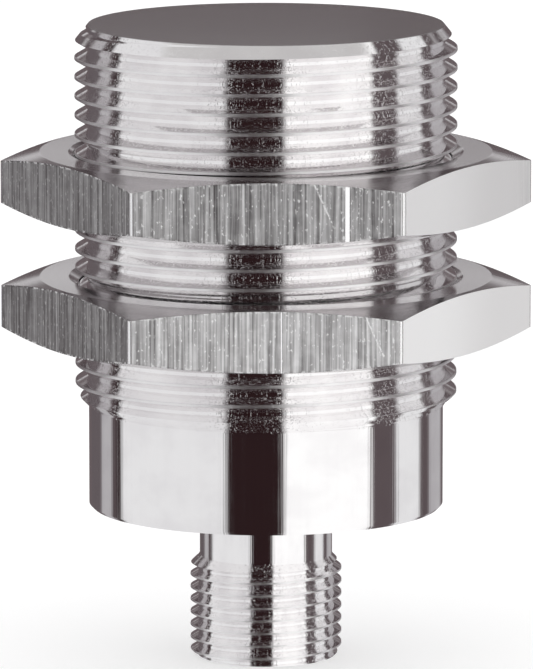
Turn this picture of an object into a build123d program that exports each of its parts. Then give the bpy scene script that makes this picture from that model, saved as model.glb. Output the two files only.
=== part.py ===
from build123d import *
from math import ceil, cos, floor, radians, tan
import os

os.makedirs("parts", exist_ok=True)

# Inductive proximity sensor in a one-piece stainless steel barrel, with a body thread, two hexagon
# lock nuts and a round male connector at the rear.  Millimetres.  The origin is the centre of the
# sensing face, +Z points out of that face, and the whole body lies below it.

# Driving dimensions of the outside
body_diameter = 30.0  # nominal, M30 x 1.5
body_pitch = 1.5
barrel_length = 38.0  # sensing face to the rear edge of the smooth skirt
thread_length = 29.95  # sensing face to the end of the body thread
connector_diameter = 12.0  # nominal, M12 x 1
connector_pitch = 1.0
neck_length = 3.95
connector_length = 12.0  # rear edge of the skirt to the end of the connector
face_chamfer = 1.3
edge_break = 0.25

# The two lock nuts
nut_across_flats = 1.2 * body_diameter  # 36 mm
nut_thickness = 4.92
nut_gap = 4.94
front_nut_top = -9.94
front_nut_turn = 0.5
rear_nut_turn = -0.1
nut_chamfer_angle = 15.0
nut_corner_fillet = 0.3
nut_countersink = 0.5  # past the thread's crests

# Thread form: 60 degree V grooves with a small flat at the root and an eighth of a pitch at the crest
flank_angle = radians(30)
groove_depth_ratio = 0.6134
crest_flat_ratio = 0.125
nut_bore_ratio = 0.5413
thread_allowance = 0.05  # crests below the nominal radius
thread_play = 0.15  # nut thread outside the barrel thread, radially
runout_step = 0.13  # smooth diameters below the thread's roots
body_groove_over_x = -1.105  # height of the middle of one groove over the +X axis
connector_groove_over_x = -42.55
seam_angle = 40.0  # where one turn of a groove meets the next

# Fits, walls and the pieces inside
fit_clearance = 0.05
loose_clearance = 0.1
barrel_wall = 1.03  # under the thread's roots
face_wall = 1.0
insulator_thickness = 0.3
holder_wall = 0.4
holder_back = 2.0
board_socket_depth = 1.1
core_length = 8.9
core_window_depth = 6.4
core_rim = 1.9
core_post_radius = 5.35
core_hole_radius = 2.6
bobbin_wall = 0.6
peg_length = 7.0
coil_lead_radius = 0.3
lead_hole_radius = 0.45
coil_lead_landing = 3.8  # below the core holder
board_thickness = 1.0
board_margin = 1.95
board_rear_gap = 1.5
sleeve_wall = 0.45
plug_length = 4.3
plug_clearance = 0.02  # filled by the bonding film
light_guide_thickness = 1.0
light_peg_radius = 0.98
seal_squeeze_depth = 1.1
seal_width = 1.3
connector_wall = 0.937  # under the thread's roots
carrier_flange_depth = 1.8
carrier_flange_overlap = 1.5
carrier_length = 5.7
key_width = 1.2
key_height = 0.6
pin_radius = 0.5
pin_tip_recess = 1.5
pin_tail_length = 2.0
contact_lead_radius = 0.35
contact_lead_rise = 2.4

# Derived radii and heights
body_crest = body_diameter / 2 - thread_allowance
body_root = body_crest - groove_depth_ratio * body_pitch
skirt_radius = body_root - runout_step
bore_radius = body_root - barrel_wall
connector_crest = connector_diameter / 2 - thread_allowance
connector_root = connector_crest - groove_depth_ratio * connector_pitch
neck_radius = connector_root - runout_step
socket_radius = connector_root - connector_wall
rear_edge = -barrel_length
connector_end = rear_edge - connector_length
neck_end = rear_edge - neck_length
holder_top = -face_wall - insulator_thickness
core_rear = holder_top - core_length
holder_rear = core_rear - holder_back
plug_front = rear_edge + plug_length
potting_rear = plug_front + light_guide_thickness
rear_nut_top = front_nut_top - nut_thickness - nut_gap


def thread_grooves(pitch, floor_radius, floor_width, mouth_radius, over_x, bottom, top):
    """Cutting solids, one a turn, for a right-hand V groove that runs out past bottom and top."""
    mouth_width = floor_width + 2 * abs(mouth_radius - floor_radius) * tan(flank_angle)
    path = Helix(pitch=pitch, height=pitch, radius=floor_radius)
    with BuildPart() as turn:
        with BuildSketch(Plane.XZ):
            with BuildLine():
                Polyline(
                    (floor_radius, -floor_width / 2),
                    (mouth_radius, -mouth_width / 2),
                    (mouth_radius, mouth_width / 2),
                    (floor_radius, floor_width / 2),
                    close=True,
                )
            make_face()
        sweep(path=path, is_frenet=True)
    first = over_x + pitch * floor((bottom - pitch - over_x) / pitch)
    turns = ceil((top + pitch - first) / pitch)
    turned = turn.part.rotate(Axis.Z, seam_angle)
    return [Pos(0, 0, first + pitch * (n + seam_angle / 360)) * turned for n in range(turns)]


def external_grooves(pitch, crest, root, over_x, bottom, top):
    """The groove between the crests of an outside thread."""
    crest_gap = pitch * (1 - crest_flat_ratio)
    root_width = crest_gap - 2 * (crest - root) * tan(flank_angle)
    return thread_grooves(pitch, root, root_width, crest + loose_clearance, over_x, bottom, top)


def save(piece, name):
    """Label a finished piece and write its STEP file."""
    piece.part.label = name
    export_step(piece.part, f"parts/{name}.step")


# Barrel: sensing face, body thread and smooth skirt turned from one bar, bored from the rear
body_grooves = external_grooves(
    body_pitch, body_crest, body_root, body_groove_over_x, -thread_length, 0
)
with BuildPart() as barrel:
    with BuildSketch(Plane.XZ):
        with BuildLine():
            Polyline(
                (0, 0),
                (skirt_radius, 0),
                (body_crest, -face_chamfer),
                (body_crest, -thread_length + (body_crest - skirt_radius)),
                (skirt_radius, -thread_length),
                (skirt_radius, rear_edge + edge_break),
                (skirt_radius - edge_break, rear_edge),
                (bore_radius, rear_edge),
                (bore_radius, -face_wall),
                (0, -face_wall),
                close=True,
            )
        make_face()
    revolve(axis=Axis.Z)
    for groove in body_grooves:
        add(groove, mode=Mode.SUBTRACT)
save(barrel, "barrel")

# Insulating disc between the steel face and the coil
with BuildPart() as face_insulator:
    with BuildSketch(Plane.XY.offset(holder_top)):
        Circle(bore_radius - fit_clearance)
    extrude(amount=insulator_thickness)
save(face_insulator, "face_insulator")

# Ferrite pot core, open towards the sensing face
holder_radius = bore_radius - fit_clearance
core_radius = holder_radius - holder_wall - fit_clearance
core_window_radius = core_radius - core_rim
winding_inner = core_post_radius + loose_clearance + bobbin_wall
winding_outer = core_window_radius - 3 * loose_clearance - 0.2
coil_lead_place = (winding_inner + winding_outer) / 2 * cos(radians(45))
lead_places = [(-coil_lead_place, coil_lead_place), (coil_lead_place, coil_lead_place)]
with BuildPart() as ferrite_core:
    with BuildSketch(Plane.XY.offset(core_rear)):
        Circle(core_radius)
        Circle(core_hole_radius, mode=Mode.SUBTRACT)
        with Locations(*lead_places):
            Circle(lead_hole_radius, mode=Mode.SUBTRACT)
    extrude(amount=core_length)
    with BuildSketch(Plane.XY.offset(holder_top)):
        Circle(core_window_radius)
        Circle(core_post_radius, mode=Mode.SUBTRACT)
    extrude(amount=-core_window_depth, mode=Mode.SUBTRACT)
save(ferrite_core, "ferrite_core")

# Coil bobbin, a moulded spool that stands on the floor of the core's ring window
bobbin_top = holder_top - loose_clearance
bobbin_floor = holder_top - core_window_depth
bobbin_inner = core_post_radius + loose_clearance
bobbin_outer = core_window_radius - loose_clearance
with BuildPart() as coil_bobbin:
    with BuildSketch(Plane.XZ):
        with BuildLine():
            Polyline(
                (bobbin_inner, bobbin_floor),
                (bobbin_outer, bobbin_floor),
                (bobbin_outer, bobbin_floor + bobbin_wall),
                (winding_inner, bobbin_floor + bobbin_wall),
                (winding_inner, bobbin_top - bobbin_wall),
                (bobbin_outer, bobbin_top - bobbin_wall),
                (bobbin_outer, bobbin_top),
                (bobbin_inner, bobbin_top),
                close=True,
            )
        make_face()
    revolve(axis=Axis.Z)
    with BuildSketch(Plane.XY.offset(bobbin_floor)):
        with Locations(*lead_places):
            Circle(lead_hole_radius)
    extrude(amount=bobbin_wall, mode=Mode.SUBTRACT)
save(coil_bobbin, "coil_bobbin")

# Copper winding between the bobbin's flanges
winding_floor = bobbin_floor + bobbin_wall
winding_top = bobbin_top - bobbin_wall
with BuildPart() as coil_winding:
    with BuildSketch(Plane.XY.offset(winding_floor)):
        Circle(winding_outer)
        Circle(winding_inner, mode=Mode.SUBTRACT)
    extrude(amount=winding_top - winding_floor)
save(coil_winding, "coil_winding")

# Core holder: a cup round the core, with a centre peg in front and a board socket behind
board_half_width = bore_radius - fit_clearance * 2 - sleeve_wall - board_margin
board_front = holder_rear + board_socket_depth
with BuildPart() as core_holder:
    with BuildSketch(Plane.XY.offset(holder_rear)):
        Circle(holder_radius)
    extrude(amount=holder_top - holder_rear)
    with BuildSketch(Plane.XY.offset(core_rear)):
        Circle(holder_radius - holder_wall)
        Circle(core_hole_radius - loose_clearance, mode=Mode.SUBTRACT)
    extrude(amount=core_length, mode=Mode.SUBTRACT)
    with BuildSketch(Plane.XY.offset(core_rear + peg_length)):
        Circle(core_hole_radius)
    extrude(amount=core_length - peg_length, mode=Mode.SUBTRACT)
    with BuildSketch(Plane.XY.offset(holder_rear)):
        Rectangle(2 * (board_half_width + fit_clearance), board_thickness + 2 * fit_clearance)
    extrude(amount=board_socket_depth, mode=Mode.SUBTRACT)
    with BuildSketch(Plane.XY.offset(holder_rear)):
        with Locations(*lead_places):
            Circle(lead_hole_radius)
    extrude(amount=holder_back, mode=Mode.SUBTRACT)
save(core_holder, "core_holder")

# Main board, upright on the axis, one edge in the core holder's socket
board_face = board_thickness / 2
board_rear = potting_rear + board_rear_gap
board_length = holder_rear - board_rear
with BuildPart() as main_board:
    with BuildSketch(Plane.XY.offset(board_rear)):
        Rectangle(2 * board_half_width, board_thickness)
    extrude(amount=board_front - board_rear)
save(main_board, "main_board")

buried = [main_board]

# Coil leads, from the underside of the winding to solder pads on the board
coil_lead_end = holder_rear - coil_lead_landing
for number, (x, y) in enumerate(lead_places, start=1):
    with BuildPart() as coil_lead:
        with BuildLine():
            FilletPolyline(
                (x, y, winding_floor),
                (x, y, coil_lead_end),
                (x, board_face, coil_lead_end),
                radius=5 * coil_lead_radius,
            )
        with BuildSketch(Plane.XY.offset(winding_floor)):
            with Locations((x, y)):
                Circle(coil_lead_radius)
        sweep()
    save(coil_lead, f"coil_lead_{number}")
    buried.append(coil_lead)

# Components on the board.  Each row gives the board face, -1 for -Y or 1 for +Y, the width,
# height and depth of one piece, and its places as shares of the half width and of the length.
side_columns = [-0.78, -0.55, 0.55, 0.78]
components = {
    "oscillator_chip": (-1, (4.0, 3.2, 1.4), [(0, 0.28)]),
    "signal_chip": (-1, (5.0, 4.0, 1.6), [(0, 0.62)]),
    "resistors": (-1, (0.8, 1.6, 0.45), [(x, 0.3) for x in side_columns]),
    "ceramic_capacitors": (-1, (0.8, 1.6, 0.8), [(x, 0.58) for x in side_columns]),
    "voltage_regulator": (1, (3.0, 3.0, 1.2), [(-0.35, 0.62)]),
    "output_transistor": (1, (3.4, 3.0, 1.5), [(0.35, 0.62)]),
    "buffer_capacitors": (1, (2.4, 3.2, 1.8), [(-0.16, 0.3), (0.16, 0.3)]),
    "protection_diodes": (1, (1.5, 2.6, 1.0), [(-0.8, 0.62), (0.8, 0.62)]),
    "indicator_leds": (-1, (1.6, 0.9, 0.9), [(-0.75, 0.92), (0.75, 0.92)]),
}
for name, (side, (width, height, depth), places) in components.items():
    depth_align = Align.MAX if side < 0 else Align.MIN
    with BuildPart() as component:
        for across, along in places:
            place = (across * board_half_width, side * board_face, holder_rear - along * board_length)
            with Locations(place):
                Box(width, depth, height, align=(Align.CENTER, depth_align, Align.CENTER))
    save(component, name)
    buried.append(component)

# End piece: plug, neck and connector shell turned from one bar, bonded into the barrel
plug_radius = bore_radius - plug_clearance
seal_floor = bore_radius - seal_squeeze_depth
seal_middle = plug_front - plug_length * 0.45
flange_bore = socket_radius + carrier_flange_overlap + loose_clearance
light_circle = (flange_bore + seal_floor) / 2
connector_grooves = external_grooves(
    connector_pitch,
    connector_crest,
    connector_root,
    connector_groove_over_x,
    connector_end,
    neck_end,
)
end_chamfer = connector_pitch / 2
with BuildPart() as end_piece:
    with BuildSketch(Plane.XZ):
        with BuildLine():
            Polyline(
                (flange_bore, plug_front),
                (plug_radius - edge_break, plug_front),
                (plug_radius, plug_front - edge_break),
                (plug_radius, rear_edge),
                (neck_radius, rear_edge),
                (neck_radius, neck_end),
                (connector_crest, neck_end - (connector_crest - neck_radius)),
                (connector_crest, connector_end + end_chamfer),
                (connector_crest - end_chamfer, connector_end),
                (socket_radius, connector_end),
                (socket_radius, plug_front - carrier_flange_depth),
                (flange_bore, plug_front - carrier_flange_depth),
                close=True,
            )
        make_face()
    revolve(axis=Axis.Z)
    with BuildSketch(Plane.XY.offset(seal_middle)):
        Circle(bore_radius + loose_clearance)
        Circle(seal_floor, mode=Mode.SUBTRACT)
    extrude(amount=seal_width / 2, both=True, mode=Mode.SUBTRACT)
    with BuildSketch(Plane.XY.offset(rear_edge)):
        with PolarLocations(light_circle, 4, start_angle=45):
            Circle(light_peg_radius)
    extrude(amount=plug_length, mode=Mode.SUBTRACT)
    for groove in connector_grooves:
        add(groove, mode=Mode.SUBTRACT)
save(end_piece, "end_piece")

# O-ring squeezed between the plug and the barrel
with BuildPart() as end_piece_o_ring:
    with BuildSketch(Plane.XZ):
        with Locations(((seal_floor + bore_radius) / 2, seal_middle)):
            RectangleRounded(bore_radius - seal_floor, seal_width, 0.4)
    revolve(axis=Axis.Z)
save(end_piece_o_ring, "end_piece_o_ring")

# Light guide: a clear ring behind the board, with four pegs that show at the rear face
with BuildPart() as light_guide:
    with BuildSketch(Plane.XY.offset(plug_front)):
        Circle(light_circle + light_peg_radius + loose_clearance)
        Circle(socket_radius + carrier_flange_overlap / 2, mode=Mode.SUBTRACT)
    extrude(amount=light_guide_thickness)
    with BuildSketch(Plane.XY.offset(rear_edge)):
        with PolarLocations(light_circle, 4, start_angle=45):
            Circle(light_peg_radius)
    extrude(amount=plug_length)
save(light_guide, "light_guide")

# Contact carrier: the moulded insert of the connector, with its coding key
carrier_radius = socket_radius - fit_clearance
carrier_shoulder = plug_front - carrier_flange_depth
carrier_end = carrier_shoulder - carrier_length
carrier_seal_floor = socket_radius - 0.7
carrier_seal_middle = carrier_shoulder - carrier_length * 0.4
carrier_seal_width = 0.9
pin_circle = socket_radius * 0.625
key_end = connector_end + 1.0
with BuildPart() as contact_carrier:
    with BuildSketch(Plane.XY.offset(carrier_end)):
        Circle(carrier_radius)
    extrude(amount=plug_front - carrier_end)
    with BuildSketch(Plane.XY.offset(carrier_shoulder)):
        Circle(socket_radius + carrier_flange_overlap)
    extrude(amount=carrier_flange_depth)
    with BuildSketch(Plane.XY.offset(key_end)):
        Circle(carrier_radius)
        Circle(carrier_radius - key_height, mode=Mode.SUBTRACT)
        with Locations((0, -carrier_radius)):
            Rectangle(key_width, 4 * key_height, mode=Mode.INTERSECT)
    extrude(amount=carrier_end - key_end)
    with BuildSketch(Plane.XY.offset(carrier_seal_middle)):
        Circle(socket_radius + loose_clearance)
        Circle(carrier_seal_floor, mode=Mode.SUBTRACT)
    extrude(amount=carrier_seal_width / 2, both=True, mode=Mode.SUBTRACT)
    with BuildSketch(Plane.XY.offset(carrier_end)):
        with PolarLocations(pin_circle, 4, start_angle=45):
            Circle(pin_radius)
    extrude(amount=plug_front - carrier_end, mode=Mode.SUBTRACT)
save(contact_carrier, "contact_carrier")

# O-ring squeezed between the contact carrier and the connector shell
with BuildPart() as carrier_o_ring:
    with BuildSketch(Plane.XZ):
        with Locations(((carrier_seal_floor + socket_radius) / 2, carrier_seal_middle)):
            RectangleRounded(socket_radius - carrier_seal_floor, carrier_seal_width, 0.3)
    revolve(axis=Axis.Z)
save(carrier_o_ring, "carrier_o_ring")

# Four contact pins with tapered tips, each with a soldered lead to the board
pin_tip = connector_end + pin_tip_recess
pin_tail = plug_front + pin_tail_length
contact_lead_top = pin_tail + contact_lead_rise
pin_places = PolarLocations(pin_circle, 4, start_angle=45).locations
for number, location in enumerate(pin_places, start=1):
    x, y = location.position.X, location.position.Y
    with BuildPart() as contact_pin:
        with BuildSketch(Plane.XY.offset(pin_tip)):
            with Locations((x, y)):
                Circle(pin_radius)
        extrude(amount=pin_tail - pin_tip)
        tip_edges = contact_pin.edges().group_by(Axis.Z)[0]
        chamfer(tip_edges, length=0.5 * pin_radius)
    save(contact_pin, f"contact_pin_{number}")
    buried.append(contact_pin)

    landing = board_face if y > 0 else -board_face
    with BuildPart() as contact_lead:
        with BuildLine():
            FilletPolyline(
                (x, y, pin_tail),
                (x, y, contact_lead_top),
                (x, landing, contact_lead_top),
                radius=2 * contact_lead_radius,
            )
        with BuildSketch(Plane.XY.offset(pin_tail)):
            with Locations((x, y)):
                Circle(contact_lead_radius)
        sweep()
    save(contact_lead, f"contact_lead_{number}")
    buried.append(contact_lead)

# Insulating sleeve that lines the barrel behind the core holder
sleeve_outer = bore_radius - 2 * fit_clearance
with BuildPart() as insulating_sleeve:
    with BuildSketch(Plane.XY.offset(potting_rear)):
        Circle(sleeve_outer)
        Circle(sleeve_outer - sleeve_wall, mode=Mode.SUBTRACT)
    extrude(amount=holder_rear - potting_rear)
save(insulating_sleeve, "insulating_sleeve")

# Clear potting resin, cast round the board, its components, the leads and the pin tails
with BuildPart() as potting:
    with BuildSketch(Plane.XY.offset(potting_rear)):
        Circle(sleeve_outer - sleeve_wall)
    extrude(amount=holder_rear - potting_rear)
    for piece in buried:
        add(piece.part, mode=Mode.SUBTRACT)
save(potting, "potting")

# Lock nuts: hexagon bar, faced and chamfered on both sides, threaded to run on the barrel.
# The ring in each nut's countersink is not a real piece: it only carries the travel along the
# thread, because the nut itself carries the turning.
nut_bore = body_diameter / 2 - nut_bore_ratio * body_pitch
nut_corner = nut_across_flats / 2 / cos(radians(30))
nut_chamfer_radius = nut_across_flats / 2 - 0.3
nut_envelope_radius = nut_corner + 1.0
nut_chamfer_drop = (nut_envelope_radius - nut_chamfer_radius) * tan(radians(nut_chamfer_angle))
countersink_radius = body_crest + nut_countersink
countersink_depth = (countersink_radius - nut_bore) * tan(flank_angle)
travel_ring_height = 0.12
travel_ring_width = 0.15
body_ridge_over_x = body_groove_over_x + body_pitch / 2
for name, top, turn in (
    ("front_nut", front_nut_top, front_nut_turn),
    ("rear_nut", rear_nut_top, rear_nut_turn),
):
    bottom = top - nut_thickness
    nut_grooves = thread_grooves(
        body_pitch,
        body_crest + thread_play,
        crest_flat_ratio * body_pitch,
        nut_bore - loose_clearance,
        body_ridge_over_x,
        bottom,
        top,
    )
    with BuildPart() as nut:
        with BuildSketch(Plane.XY.offset(bottom)):
            RegularPolygon(nut_across_flats / 2, 6, major_radius=False, rotation=turn)
        extrude(amount=nut_thickness)
        fillet(nut.edges().filter_by(Axis.Z), radius=nut_corner_fillet)
        with BuildSketch(Plane.XZ):
            with BuildLine():
                Polyline(
                    (nut_bore, top - countersink_depth),
                    (countersink_radius, top),
                    (nut_chamfer_radius, top),
                    (nut_envelope_radius, top - nut_chamfer_drop),
                    (nut_envelope_radius, bottom + nut_chamfer_drop),
                    (nut_chamfer_radius, bottom),
                    (countersink_radius, bottom),
                    (nut_bore, bottom + countersink_depth),
                    close=True,
                )
            make_face()
        revolve(axis=Axis.Z, mode=Mode.INTERSECT)
        for groove in nut_grooves:
            add(groove, mode=Mode.SUBTRACT)
    save(nut, name)

    with BuildPart() as travel_ring:
        with BuildSketch(Plane.XY.offset(top - travel_ring_height)):
            Circle(body_crest + loose_clearance + travel_ring_width)
            Circle(body_crest + loose_clearance, mode=Mode.SUBTRACT)
        extrude(amount=travel_ring_height)
    save(travel_ring, f"{name}_travel_ring")
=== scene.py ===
import math

import bmesh
import bpy
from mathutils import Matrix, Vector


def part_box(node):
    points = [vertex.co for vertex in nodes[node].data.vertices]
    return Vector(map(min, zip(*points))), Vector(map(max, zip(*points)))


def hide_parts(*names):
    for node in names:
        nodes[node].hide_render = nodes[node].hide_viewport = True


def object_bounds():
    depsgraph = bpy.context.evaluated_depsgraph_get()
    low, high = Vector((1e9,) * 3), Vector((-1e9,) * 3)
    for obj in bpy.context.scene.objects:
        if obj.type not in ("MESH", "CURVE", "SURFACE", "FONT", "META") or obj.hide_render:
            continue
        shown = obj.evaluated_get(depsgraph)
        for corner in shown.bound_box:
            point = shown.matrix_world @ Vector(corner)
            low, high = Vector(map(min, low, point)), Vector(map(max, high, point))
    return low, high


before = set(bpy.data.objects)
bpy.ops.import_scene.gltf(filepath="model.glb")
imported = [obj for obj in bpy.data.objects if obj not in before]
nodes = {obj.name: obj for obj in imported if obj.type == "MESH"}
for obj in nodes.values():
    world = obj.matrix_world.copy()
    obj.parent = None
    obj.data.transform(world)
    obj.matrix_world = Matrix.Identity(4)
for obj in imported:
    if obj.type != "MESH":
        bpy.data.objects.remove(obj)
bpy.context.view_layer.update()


# Barrel. One bar of stainless steel, turned and threaded, with a closed sensing face in front and
# a smooth skirt behind the thread. The tool leaves bright walls, faint streaks along the skirt,
# rings on the rear end and small pits between the crests. The face is finely ground, and its
# darker colour is painted shade, standing in for the dark surroundings that it mirrors.
class Wire:
    """The output of a node, with which sums can be written."""

    def __init__(self, sheet, socket):
        self.sheet = sheet
        self.socket = socket

    def sum(self, operation, *others):
        terms = enumerate((self, *others))
        return self.sheet.add("ShaderNodeMath", {"operation": operation}, terms)

    def __add__(self, other):
        return self.sum("ADD", other)

    def __sub__(self, other):
        return self.sum("SUBTRACT", other)

    def __rsub__(self, other):
        terms = enumerate((other, self))
        return self.sheet.add("ShaderNodeMath", {"operation": "SUBTRACT"}, terms)

    def __mul__(self, other):
        return self.sum("MULTIPLY", other)

    def __truediv__(self, other):
        return self.sum("DIVIDE", other)

    def __neg__(self):
        return self.sum("MULTIPLY", -1)

    def __abs__(self):
        return self.sum("ABSOLUTE")

    __radd__ = __add__
    __rmul__ = __mul__

    def rise(self, start, end, kind="SMOOTHSTEP"):
        """0 before start and 1 after end, with a change between them."""
        values = {"Value": self, "From Min": start, "From Max": end}
        return self.sheet.add("ShaderNodeMapRange", {"interpolation_type": kind}, values.items())


class Sheet:
    """The node tree of one finish or of the studio."""

    def __init__(self, owner):
        owner.use_nodes = True
        self.owner = owner
        self.tree = owner.node_tree
        self.tree.nodes.clear()

    def add(self, kind, settings, values, out=0):
        """A new node: its settings come first, then the values or wires of its sockets."""
        node = self.tree.nodes.new(kind)
        for name, setting in settings.items():
            if name == "stops":
                stops = node.color_ramp.elements
                while len(stops) < len(setting):
                    stops.new(1.0)
                for stop, (position, colour) in zip(stops, setting):
                    stop.position = position
                    stop.color = (*colour, 1.0)
            else:
                setattr(node, name, setting)
        for name, value in values:
            if isinstance(value, Wire):
                self.tree.links.new(value.socket, node.inputs[name])
            else:
                node.inputs[name].default_value = value
        return Wire(self, node.outputs[out]) if len(node.outputs) else node

    def parts(self, vector):
        """The three numbers of a vector."""
        first = self.add("ShaderNodeSeparateXYZ", {}, [(0, vector)])
        return [Wire(self, socket) for socket in first.socket.node.outputs]

    def place(self):
        """Where a point of the piece lies, in millimetres."""
        where = self.add("ShaderNodeTexCoord", {}, [], "Object")
        return [number * 1000 for number in self.parts(where)]

    def grain(self, x, y, z, detail):
        """Soft noise round 0.5, with about one grain for each unit of x, y and z."""
        where = self.add("ShaderNodeCombineXYZ", {}, enumerate((x, y, z)))
        values = {"Vector": where, "Scale": 1.0, "Detail": detail}
        return self.add("ShaderNodeTexNoise", {}, values.items())

    def mix(self, share, first, second):
        """A colour that goes from first to second as share goes from 0 to 1."""
        colours = [c if isinstance(c, Wire) else (*c, 1.0) for c in (first, second)]
        settings = {"data_type": "RGBA", "clamp_factor": True}
        return self.add("ShaderNodeMix", settings, zip((0, 6, 7), (share, *colours)), 2)

    def relief(self, height, edge=0.0):
        """Normals of a surface with bumps, their height in millimetres, and with softened edges."""
        values = {"Strength": 1.0, "Distance": 0.001, "Height": height}
        if edge:
            values["Normal"] = self.rolled(edge)
        return self.add("ShaderNodeBump", {}, values.items())

    def rolled(self, edge):
        """Normals of a surface whose edges are rounded, their radius in millimetres."""
        return self.add("ShaderNodeBevel", {"samples": 4}, [("Radius", edge * 0.001)])

    def tilt(self):
        """0 on an upright wall and 1 on a level face."""
        return abs(self.parts(self.add("ShaderNodeTexCoord", {}, [], "Normal"))[2])

    def surface(self, values):
        """Closes a finish with its surface shader."""
        shader = self.add("ShaderNodeBsdfPrincipled", {}, values.items())
        self.add("ShaderNodeOutputMaterial", {}, [("Surface", shader)])
        return self.owner


def finish(name):
    return Sheet(bpy.data.materials.new(name))


def lay(material, *names):
    """Gives CAD nodes their finish."""
    for name in names:
        slots = nodes[name].data.materials
        slots.clear()
        slots.append(material)


def turned_steel(name, crest_radius, rib_width, thread_low, thread_high, face_height):
    """Bright turned steel with a thread between two heights, in millimetres."""
    fade = 0.1
    steel = finish(name)
    x, y, z = steel.place()
    radius = (x * x + y * y).sum("SQRT")
    turn_x, turn_y = x / radius, y / radius
    thread = z.rise(thread_low - fade, thread_low) * (1 - z.rise(thread_high, thread_high + fade))
    face = z.rise(face_height - 0.06, face_height - 0.01)
    smudge = steel.grain(turn_x * 4, turn_y * 4, z * 0.35, 3.0).rise(0.35, 0.7)
    streaks = steel.grain(turn_x * 55, turn_y * 55, z * 0.03, 3.0)
    rings = steel.grain(radius * 7, radius * 7, radius * 0, 3.0)
    chatter = steel.grain(x * 6.5, y * 6.5, z * 3.0, 2.0).rise(0.60, 0.70)
    pits = steel.grain(x * 7, y * 7, z * 7, 1.0).rise(0.70, 0.78)
    swirl = steel.grain(x * 3, y * 3, z * 3, 4.0)
    end = (1 - thread) * steel.tilt().rise(0.93, 0.98)
    streaks = streaks + (rings - streaks) * end
    smudge = smudge * (1 - end)
    crest = thread * radius.rise(crest_radius - rib_width, crest_radius - rib_width / 2)
    wall = thread * (chatter * 0.005 - pits * 0.006) + (1 - thread) * streaks * 0.006
    height = wall * (1 - face)
    scuffed = crest * 0.24 + (1 - thread) * streaks.rise(0.40, 0.85) * 0.11
    roughness = 0.05 + (smudge * 0.03 + scuffed) * (1 - face)
    bare = steel.mix(smudge, (0.96, 0.95, 0.95), (0.90, 0.885, 0.89))
    # The face's darker colour is painted shade, for the dark surroundings that it mirrors.
    ground_face_painted_shade = steel.mix(swirl.rise(0.3, 0.7), (0.30, 0.29, 0.29), (0.38, 0.37, 0.37))
    values = {
        "Base Color": steel.mix(face, bare, ground_face_painted_shade),
        "Metallic": 1 - face * 0.42,
        "Roughness": roughness,
        "Normal": steel.relief(height),
    }
    return steel.surface(values)


barrel_steel = turned_steel(
    "turned_barrel_steel",
    crest_radius=14.95,
    rib_width=0.10,
    thread_low=-29.95,
    thread_high=1.0,
    face_height=0.0,
)
lay(barrel_steel, "barrel")

# End piece. Plug, neck and connector shell are turned from one steel bar, and the plug is bonded
# into the barrel's rear. It has the barrel's bright finish and a finer thread.
connector_steel = turned_steel(
    "turned_connector_steel",
    crest_radius=5.95,
    rib_width=0.04,
    thread_low=-51.0,
    thread_high=-41.95,
    face_height=1.0,
)
lay(connector_steel, "end_piece")


# Lock nuts. Slices of drawn hexagon steel bar, threaded, with faces and corner chamfers turned.
# The drawn flats keep scratches along the bar and dents. Their rolled edges are painted darker,
# painted shade, with bright specks that are painted glints. The front-left flat is painted darker,
# painted shade, and the front-right flat is left smooth and painted lighter towards the front,
# painted light. The rear nut is a lighter copy of the front one: painted light. A thin ring in
# each countersink only carries the nut's travel along the thread, so it is not shown.
half_flats = 18.0
half_corners = 20.66
scratch_length = 3.5
drawn_dark = (0.10, 0.09, 0.092)
drawn_light = (0.98, 0.975, 0.98)
polished = (0.97, 0.965, 0.97)


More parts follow.
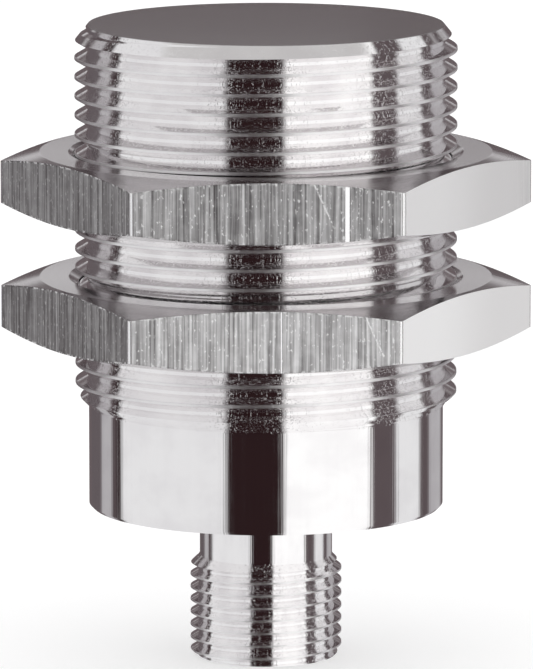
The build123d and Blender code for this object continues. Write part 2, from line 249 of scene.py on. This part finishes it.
def nut_steel(name, nut, matt, painted_light_lift, streak_place, streak_width, scratch_place):
    """Hexagon bar steel, of which matt is the share that is not bright.
    A nut with more matt and a lift of its flats' colour is a lighter copy: painted light.

    The front flat has a burnished line and a slanting scratch from its top.
    """
    steel = finish(name)
    x, y, z = steel.place()
    radius = (x * x + y * y).sum("SQRT")
    across, ahead = x * 0.866, y * -0.5
    # The front-right flat is left without bumps and painted lighter towards the front: painted
    # light.
    smooth_painted_light_flat = (ahead + across).rise(half_flats - 0.2, half_flats - 0.05)
    # The front-left flat is painted darker: painted shade.
    painted_shade_flat = (ahead - across).rise(half_flats - 0.2, half_flats - 0.05)
    front = (-y).rise(half_flats - 0.5, half_flats - 0.2)
    corner = radius.rise(half_corners, half_corners + 0.03)
    scratches = steel.grain(x * 5.5, y * 5.5, z * 0.10, 4.0)
    drag = steel.grain(x * 2, y * 2, z * 0.08, 3.0)
    dents = steel.grain(x * 5, y * 5, z * 2.6, 5.0).rise(0.60, 0.70)
    patches = steel.grain(x * 1.3, y * 1.3, z * 1.1, 5.0).rise(0.38, 0.68)
    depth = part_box(nut)[1][2] * 1000 - z
    scratch = 1 - abs(x - scratch_place - depth * 0.45).rise(0.03, 0.09)
    scratch = scratch * front * (1 - depth.rise(scratch_length - 0.1, scratch_length + 0.1))
    scratch = scratch * steel.grain(x * 4, y * 4, z * 4, 2.0).rise(0.38, 0.58)
    along = x - streak_place
    streak = along.rise(0.0, 0.03) * (1 - along.rise(streak_width - 0.03, streak_width))
    streak = streak * front
    drawn_height = scratches * 0.030 + drag * 0.03 + dents * 0.014 - scratch * 0.03
    rough = (1 - smooth_painted_light_flat) * (1 - corner) * (1 - streak)
    height = rough * drawn_height - streak * along * 0.27
    # The rolled top and bottom edges of the flats are painted darker, painted shade, with bright
    # specks on them that are painted glints.
    rim = abs(steel.parts(steel.rolled(0.3))[2]).rise(0.06, 0.35)
    edge_glints = rim * steel.grain(x * 2.6, y * 2.6, z * 2.6, 4.0).rise(0.50, 0.58)
    wear_and_painted_light = scratches * 0.60 + drag * 0.36 + patches * 0.04 + dents * 0.20
    # The wear and random tone of the flats is lifted for the rear nut, painted light, and darkened
    # on the front-left flat, painted shade.
    wear_and_painted_light = wear_and_painted_light.rise(0.345, 0.69, "LINEAR") * (1 - painted_shade_flat * 0.52) + painted_light_lift * (1 - painted_shade_flat * 1.5)
    wear_and_painted_light = wear_and_painted_light + edge_glints * 1.1 - rim * 0.15 + scratch * 0.6
    burnished = streak.sum("MAXIMUM", corner)
    drawn = steel.mix(burnished, steel.mix(wear_and_painted_light, drawn_dark, drawn_light), polished)
    # The colour of the front-right flat, lighter towards the front: painted light.
    painted_light_tone = steel.mix(y.rise(-14.0, -4.0), (1.0, 0.995, 0.995), (0.86, 0.85, 0.85))
    flat_values = {
        "Base Color": steel.mix(smooth_painted_light_flat, drawn, painted_light_tone),
        "Metallic": (1 - matt) + burnished * matt,
        "Roughness": 0.36 + smooth_painted_light_flat * 0.10 - burnished * 0.26,
        "Anisotropic": 0.4,
        "Normal": steel.relief(height, edge=0.10),
    }
    rings = steel.grain(radius * 8, radius * 8, radius * 0, 2.0)
    turned_values = {
        "Base Color": steel.mix(rings, (0.62, 0.60, 0.605), (0.50, 0.48, 0.485)),
        "Metallic": 1.0,
        "Roughness": 0.12 + rings * 0.05,
        "Anisotropic": 0.5,
        "Anisotropic Rotation": 0.25,
        "Normal": steel.relief(rings * 0.003, edge=0.10),
    }
    drawn_flat = steel.add("ShaderNodeBsdfPrincipled", {}, flat_values.items())
    turned_face = steel.add("ShaderNodeBsdfPrincipled", {}, turned_values.items())
    shaders = enumerate((steel.tilt().rise(0.5, 0.7), drawn_flat, turned_face))
    both = steel.add("ShaderNodeMixShader", {}, shaders)
    steel.add("ShaderNodeOutputMaterial", {}, [("Surface", both)])
    return steel.owner


front_nut_steel = nut_steel(
    "front_nut_steel",
    "front_nut",
    matt=0.42,
    painted_light_lift=0.0,
    streak_place=6.0,
    streak_width=0.38,
    scratch_place=3.6,
)
# The rear nut is a lighter copy of the same steel, with more matt and a lift of its colour: painted
# light.
rear_nut_steel = nut_steel(
    "rear_nut_steel",
    "rear_nut",
    matt=0.62,
    painted_light_lift=0.15,
    streak_place=1.1,
    streak_width=0.14,
    scratch_place=7.4,
)
lay(front_nut_steel, "front_nut")
lay(rear_nut_steel, "rear_nut")
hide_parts("front_nut_travel_ring")
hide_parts("rear_nut_travel_ring")


# Face insulator. A disc punched from amber polyimide film, which keeps the coil away from the
# steel face. The film is glossy, with faint roller lines.
film = finish("amber_film")
x, y, z = film.place()
lines = film.grain(x * 0.3, y * 9, z * 0, 3.0)
cloud = film.grain(x * 0.4, y * 0.4, z * 0.4, 3.0).rise(0.35, 0.65)
amber_film = film.surface(
    {
        "Base Color": film.mix(cloud, (0.62, 0.30, 0.05), (0.72, 0.40, 0.09)),
        "Roughness": 0.14 + cloud * 0.08,
        "Normal": film.relief(lines * 0.002),
        "IOR": 1.65,
    }
)
lay(amber_film, "face_insulator")

# Ferrite core. A pot pressed from ferrite powder and fired, then ground on its rim. It is matt and
# nearly black, with fine grains and a few bright crystals.
pressed = finish("fired_ferrite")
x, y, z = pressed.place()
grains = pressed.grain(x * 7, y * 7, z * 7, 4.0)
crystals = pressed.grain(x * 16, y * 16, z * 16, 0.0).rise(0.74, 0.80)
fired_ferrite = pressed.surface(
    {
        "Base Color": pressed.mix(crystals, (0.045, 0.043, 0.042), (0.20, 0.20, 0.21)),
        "Roughness": 0.68 - crystals * 0.35 + grains * 0.1,
        "Normal": pressed.relief(grains * 0.02 - crystals * 0.006),
    }
)
lay(fired_ferrite, "ferrite_core")


# Coil bobbin and core holder. Both are moulded in glass-filled plastic, the bobbin black and the
# holder grey. The mould leaves an even satin skin, and the short fibres show as faint flow marks.
def moulded(name, colour, pale, roughness=0.42):
    """Moulded plastic: pale is how much lighter its flow marks are."""
    plastic = finish(name)
    x, y, z = plastic.place()
    flow = plastic.grain(x * 0.5 + z * 0.3, y * 0.5, z * 0.15, 5.0).rise(0.35, 0.7)
    skin = plastic.grain(x * 11, y * 11, z * 11, 2.0)
    marked = [part * (1 + pale) + 0.004 for part in colour]
    values = {
        "Base Color": plastic.mix(flow, colour, marked),
        "Roughness": roughness + flow * 0.08,
        "Normal": plastic.relief(skin * 0.004, edge=0.05),
    }
    return plastic.surface(values)


lay(moulded("bobbin_plastic", (0.020, 0.020, 0.021), 0.5), "coil_bobbin")
lay(moulded("holder_plastic", (0.26, 0.27, 0.28), 0.15, 0.48), "core_holder")


# Coil winding and its two leads. Enamelled copper wire, wound in close layers on the bobbin, with
# its ends led down to the board. The enamel is clear and red-brown over bright copper, and the
# grooves between the turns of the winding are painted darker: painted shade.
def copper(name, wire_pitch):
    """Copper wire laid in turns, or drawn wire where wire_pitch is 0."""
    wire = finish(name)
    x, y, z = wire.place()
    tone = wire.grain(x * 1.5, y * 1.5, z * 1.5, 3.0)
    height = tone * 0.002
    shade = tone.rise(0.3, 0.7)
    if wire_pitch:
        crown = abs((z / wire_pitch).sum("FRACT") - 0.5)
        height = height - crown * crown * wire_pitch
        # Between the turns the winding is painted darker: painted shade in the grooves.
        shade = crown.rise(0.28, 0.5)
    values = {
        "Base Color": wire.mix(shade, (0.86, 0.36, 0.16), (0.42, 0.13, 0.05)),
        "Metallic": 1.0,
        "Roughness": 0.24 + tone * 0.12,
        "Coat Weight": 0.5,
        "Coat Roughness": 0.1,
        "Normal": wire.relief(height),
    }
    return wire.surface(values)


lay(copper("wound_copper", 0.16), "coil_winding")
lay(copper("drawn_copper", 0), "coil_lead_1", "coil_lead_2")

# Main board. A strip of glass-fibre laminate under green solder mask, which stands on the axis
# with one edge in the core holder. Copper tracks show as paler lines under the mask, with tinned
# pads.
board = finish("masked_laminate")
x, y, z = board.place()
track_pitch = 0.8
board_half_width = 9.0
wander = board.grain(x * 0.25, z * 0.25, y * 0, 0.0).sum("MULTIPLY", 6).sum("FLOOR")
across = (x / track_pitch + wander * 0.5).sum("FRACT")
track = 1 - abs(across - 0.5).rise(0.12, 0.18)
pads = board.grain(x * 1.1, y * 0, z * 1.1, 0.0).rise(0.70, 0.72)
weave = (x * 6).sum("SINE") * (z * 6).sum("SINE")
edge_fibre = abs(x).rise(board_half_width, board_half_width + 0.2)
mask_colour = board.mix(track, (0.010, 0.085, 0.035), (0.020, 0.150, 0.060))
pad_colour = board.mix(pads, mask_colour, (0.70, 0.69, 0.66))
masked_laminate = board.surface(
    {
        "Base Color": board.mix(edge_fibre, pad_colour, (0.45, 0.40, 0.24)),
        "Metallic": pads * (1 - edge_fibre),
        "Roughness": 0.30 + edge_fibre * 0.35,
        "Normal": board.relief(track * 0.02 + pads * 0.03 + weave * 0.002),
    }
)
lay(masked_laminate, "main_board")


# Components on the board. Two chips, a regulator, a transistor and two diodes in black moulded
# epoxy, glazed resistors, fired ceramic capacitors, two cased buffer capacitors and two clear
# light-emitting diodes, all soldered by tinned ends.
def tinned_ends(name, colour, half_height, tin_height, roughness, centres):
    """A small part whose ends are tinned. Centres are the heights of its middles."""
    chip = finish(name)
    x, y, z = chip.place()
    away = abs(z - centres[0])
    for centre in centres[1:]:
        away = away.sum("MINIMUM", abs(z - centre))
    tin = away.rise(half_height - tin_height - 0.03, half_height - tin_height)
    speckle = chip.grain(x * 8, y * 8, z * 8, 3.0)
    paler = [part * 1.4 + 0.006 for part in colour]
    body = chip.mix(speckle.rise(0.35, 0.7), colour, paler)
    values = {
        "Base Color": chip.mix(tin, body, (0.72, 0.71, 0.69)),
        "Metallic": tin,
        "Roughness": roughness + speckle * 0.12 - tin * 0.1,
        "Normal": chip.relief(speckle * 0.006 + tin * 0.02, edge=0.04),
    }
    return chip.surface(values)


def middle(name):
    low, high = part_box(name)
    return (low.z + high.z) * 500


def half(name):
    low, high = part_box(name)
    return (high.z - low.z) * 500


EPOXY = (0.013, 0.013, 0.014)
component_finishes = {
    "oscillator_chip": (EPOXY, 0.05, 0.5),
    "signal_chip": (EPOXY, 0.05, 0.5),
    "voltage_regulator": (EPOXY, 0.35, 0.5),
    "output_transistor": (EPOXY, 0.35, 0.5),
    "protection_diodes": (EPOXY, 0.3, 0.5),
    "resistors": ((0.016, 0.016, 0.018), 0.35, 0.2),
    "ceramic_capacitors": ((0.36, 0.23, 0.12), 0.35, 0.45),
    "buffer_capacitors": ((0.55, 0.36, 0.05), 0.4, 0.4),
}
for name, (colour, tin_height, roughness) in component_finishes.items():
    coat = tinned_ends(f"{name}_coat", colour, half(name), tin_height, roughness, [middle(name)])
    lay(coat, name)

lens = finish("clear_diode")
x, y, z = lens.place()
glow = lens.grain(x * 4, y * 4, z * 4, 1.0).rise(0.4, 0.6)
clear_diode = lens.surface(
    {
        "Base Color": lens.mix(glow, (0.90, 0.86, 0.55), (0.95, 0.93, 0.80)),
        "Roughness": 0.12 + glow * 0.1,
        "Transmission Weight": 0.6,
        "IOR": 1.53,
        "Normal": lens.relief(glow * 0.004, edge=0.04),
    }
)
lay(clear_diode, "indicator_leds")

# Insulating sleeve. A tube of black polyester film pushed into the barrel behind the core holder,
# so that the board and the resin never touch steel. It is satin, with faint draw lines.
tube = finish("sleeve_film")
x, y, z = tube.place()
draw = tube.grain(x * 3, y * 3, z * 0.08, 3.0)
sleeve_film = tube.surface(
    {
        "Base Color": tube.mix(draw.rise(0.3, 0.7), (0.016, 0.016, 0.018), (0.034, 0.034, 0.036)),
        "Roughness": 0.30 + draw * 0.15,
        "Normal": tube.relief(draw * 0.006),
    }
)
lay(sleeve_film, "insulating_sleeve")

# Potting. Clear casting resin poured in from the rear, which holds the board and its leads still.
# It is a little yellow, with a few small bubbles under the surface.
resin = finish("casting_resin")
x, y, z = resin.place()
haze = resin.grain(x * 0.3, y * 0.3, z * 0.3, 3.0).rise(0.3, 0.7)
bubbles = resin.grain(x * 2.4, y * 2.4, z * 2.4, 0.0).rise(0.73, 0.77)
casting_resin = resin.surface(
    {
        "Base Color": resin.mix(haze, (0.86, 0.74, 0.45), (0.92, 0.84, 0.60)),
        "Roughness": 0.10 + haze * 0.1,
        "Transmission Weight": 0.75,
        "IOR": 1.52,
        "Normal": resin.relief(bubbles * -0.05),
    }
)
lay(casting_resin, "potting")

# O-rings. Two black nitrile rings, one squeezed between the plug and the barrel and one between
# the contact carrier and the shell. Moulded rubber with a dusty skin and a fine parting line.
rubber = finish("nitrile_rubber")
x, y, z = rubber.place()
dust = rubber.grain(x * 1.2, y * 1.2, z * 1.2, 4.0).rise(0.4, 0.75)
skin = rubber.grain(x * 14, y * 14, z * 14, 2.0)
nitrile_rubber = rubber.surface(
    {
        "Base Color": rubber.mix(dust, (0.010, 0.010, 0.010), (0.035, 0.034, 0.033)),
        "Roughness": 0.62 + dust * 0.15,
        "Normal": rubber.relief(skin * 0.006),
    }
)
lay(nitrile_rubber, "end_piece_o_ring", "carrier_o_ring")

# Light guide. A ring of clear moulded plastic behind the board, whose four pegs fill the windows
# at the rear of the barrel and show the diodes' light there. The peg ends are lightly frosted.
guide = finish("clear_guide")
x, y, z = guide.place()
frost = guide.grain(x * 12, y * 12, z * 12, 3.0)
swirl = guide.grain(x * 0.6, y * 0.6, z * 0.6, 2.0).rise(0.3, 0.7)
clear_guide = guide.surface(
    {
        "Base Color": guide.mix(swirl, (0.90, 0.90, 0.88), (0.97, 0.97, 0.95)),
        "Roughness": 0.16 + frost * 0.2,
        "Transmission Weight": 0.55,
        "IOR": 1.49,
        "Normal": guide.relief(frost * 0.004, edge=0.05),
    }
)
lay(clear_guide, "light_guide")

# Contact carrier. The connector's black moulded insert, with its coding key and four pins, pushed
# in from the front against its flange.
lay(moulded("carrier_plastic", (0.018, 0.018, 0.019), 0.45, 0.38), "contact_carrier")


# Contact pins and their leads. Four turned brass pins with gold on top, chamfered at the tip, and
# four tinned copper wires soldered from their tails to the board.
def plated(name, bright, wear_and_painted_light, roughness):
    """Turned or drawn metal under thin plating."""
    metal = finish(name)
    x, y, z = metal.place()
    rings = metal.grain(x * 0.4, y * 0.4, z * 22, 2.0)
    tone = metal.grain(x * 2, y * 2, z * 0.8, 3.0).rise(0.35, 0.7)
    values = {
        "Base Color": metal.mix(tone, bright, wear_and_painted_light),
        "Metallic": 1.0,
        "Roughness": roughness + tone * 0.1,
        "Normal": metal.relief(rings * 0.002, edge=0.04),
    }
    return metal.surface(values)


numbers = range(1, 5)
gold = plated("gold_plate", (0.95, 0.72, 0.33), (0.88, 0.62, 0.26), 0.16)
tin = plated("tinned_copper", (0.78, 0.77, 0.75), (0.60, 0.59, 0.57), 0.28)
lay(gold, *[f"contact_pin_{number}" for number in numbers])
lay(tin, *[f"contact_lead_{number}" for number in numbers])

# Floor. A plain white sheet on a light table under the connector's end. It shines a little, so
# only a faint shadow shows, and it is left out of what the steel mirrors.
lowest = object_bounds()[0].z
floor_reach = 3.0
floor_mesh = bpy.data.meshes.new("floor")
grid = bmesh.new()
bmesh.ops.create_grid(grid, x_segments=1, y_segments=1, size=floor_reach)
bmesh.ops.translate(grid, vec=(0, 0, lowest), verts=grid.verts)
grid.to_mesh(floor_mesh)
grid.free()
floor = bpy.data.objects.new("floor", floor_mesh)
bpy.context.scene.collection.objects.link(floor)
floor.visible_glossy = False
white = (1.0, 1.0, 1.0, 1.0)
paper = {
    "Base Color": (0.72, 0.72, 0.72, 1.0),
    "Roughness": 0.8,
    "Emission Color": white,
    "Emission Strength": 0.42,
}
floor_mesh.materials.append(finish("floor_paper").surface(paper))

# Studio. Long light panels and dark cards stand upright round the object: each is a range of the
# angle, in degrees, by which a polished wall turns from the front. Behind are a grey wall, a low
# light and a dark shelf, and a light hangs overhead in front. Matt surfaces see only plain white.
black = (0.024, 0.012, 0.013)
brown = (0.105, 0.083, 0.088)
dark_grey = (0.125, 0.105, 0.112)
grey = (0.45, 0.435, 0.45)
pale = (0.80, 0.80, 0.81)
bright = (1.06, 1.06, 1.06)
horizon_grey = (0.40, 0.385, 0.39)
shelf_brown = (0.095, 0.075, 0.08)
overhead_light = (0.57, 0.56, 0.56)
wall_low, wall_high = (0.135, 0.108, 0.114), (0.62, 0.60, 0.61)
low_light = (0.74, 0.73, 0.74)
panels = [
    (-90, dark_grey),
    (-69, dark_grey),
    (-67, grey),
    (-61, grey),
    (-59.5, brown),
    (-55.5, black),
    (-53.5, pale),
    (-14, pale),
    (-12, black),
    (5, black),
    (7, bright),
    (35.5, bright),
    (37, brown),
    (46, brown),
    (48, pale),
    (59, pale),
    (61, brown),
    (66, brown),
    (68, grey),
    (78, grey),
    (90, dark_grey),
]
front_reach = 0.98
sky = Sheet(bpy.data.worlds.new("studio"))
bpy.context.scene.world = sky.owner
right, back, up = sky.parts(sky.add("ShaderNodeTexCoord", {}, [], "Generated"))
turn = right.sum("ARCTAN2", front_reach - back) / math.pi + 0.5
stops = [((angle + 90) / 180, colour) for angle, colour in panels]
upright = sky.add("ShaderNodeValToRGB", {"stops": stops}, [(0, turn)])
bounces = sky.add("ShaderNodeLightPath", {}, [], "Glossy Depth")
first = 1 - bounces.rise(1.4, 1.6)
horizon = up.rise(0.19, 0.23) * (1 - up.rise(0.34, 0.42)) * first
shelf = back.rise(0.72, 0.80) * up.rise(0.24, 0.30) * (1 - up.rise(0.66, 0.74)) * first
overhead = up.rise(0.45, 0.62) * (-back).rise(-0.12, 0.02) * first
wall = sky.mix(up.rise(0.22, 0.45), wall_low, wall_high)
shaded = right.rise(0.009, 0.017) * (1 - up.rise(0.142, 0.146)) * 0.7
glow = back.rise(0.955, 0.98) * up.rise(0.127, 0.131) * (1 - shaded)
mirrored = sky.mix(horizon, upright, horizon_grey)
mirrored = sky.mix(shelf, mirrored, shelf_brown)
mirrored = sky.mix(overhead, mirrored, overhead_light)
mirrored = sky.mix(back.rise(0.90, 0.96), mirrored, wall)
mirrored = sky.mix(glow, mirrored, low_light)
is_seen = sky.add("ShaderNodeLightPath", {}, [], "Is Camera Ray")
is_matt = sky.add("ShaderNodeLightPath", {}, [], "Is Diffuse Ray")
colour = sky.mix(is_seen.sum("MAXIMUM", is_matt), mirrored, white[:3])
light = sky.add("ShaderNodeBackground", {}, [("Color", colour), ("Strength", 1.0)])
sky.add("ShaderNodeOutputWorld", {}, [("Surface", light)])

# Camera. A long lens in front of the object and a little above its face, tilted down by about nine
# degrees, and far enough away that the threads on both sides show alike.
camera_tilt = 0.1605
camera_data = bpy.data.cameras.new("camera")
camera = bpy.data.objects.new("camera", camera_data)
bpy.context.scene.collection.objects.link(camera)
bpy.context.scene.camera = camera
camera_data.sensor_width = 36.0
camera_data.lens = 417.0
camera_data.shift_x = 0.0008
camera_data.clip_start = 0.01
camera_data.clip_end = 10.0
camera.location = (0.0, -0.6, 0.0726)
camera.rotation_euler = (math.pi / 2 - camera_tilt, 0.0, 0.0)
bpy.context.scene.view_settings.view_transform = "Standard"
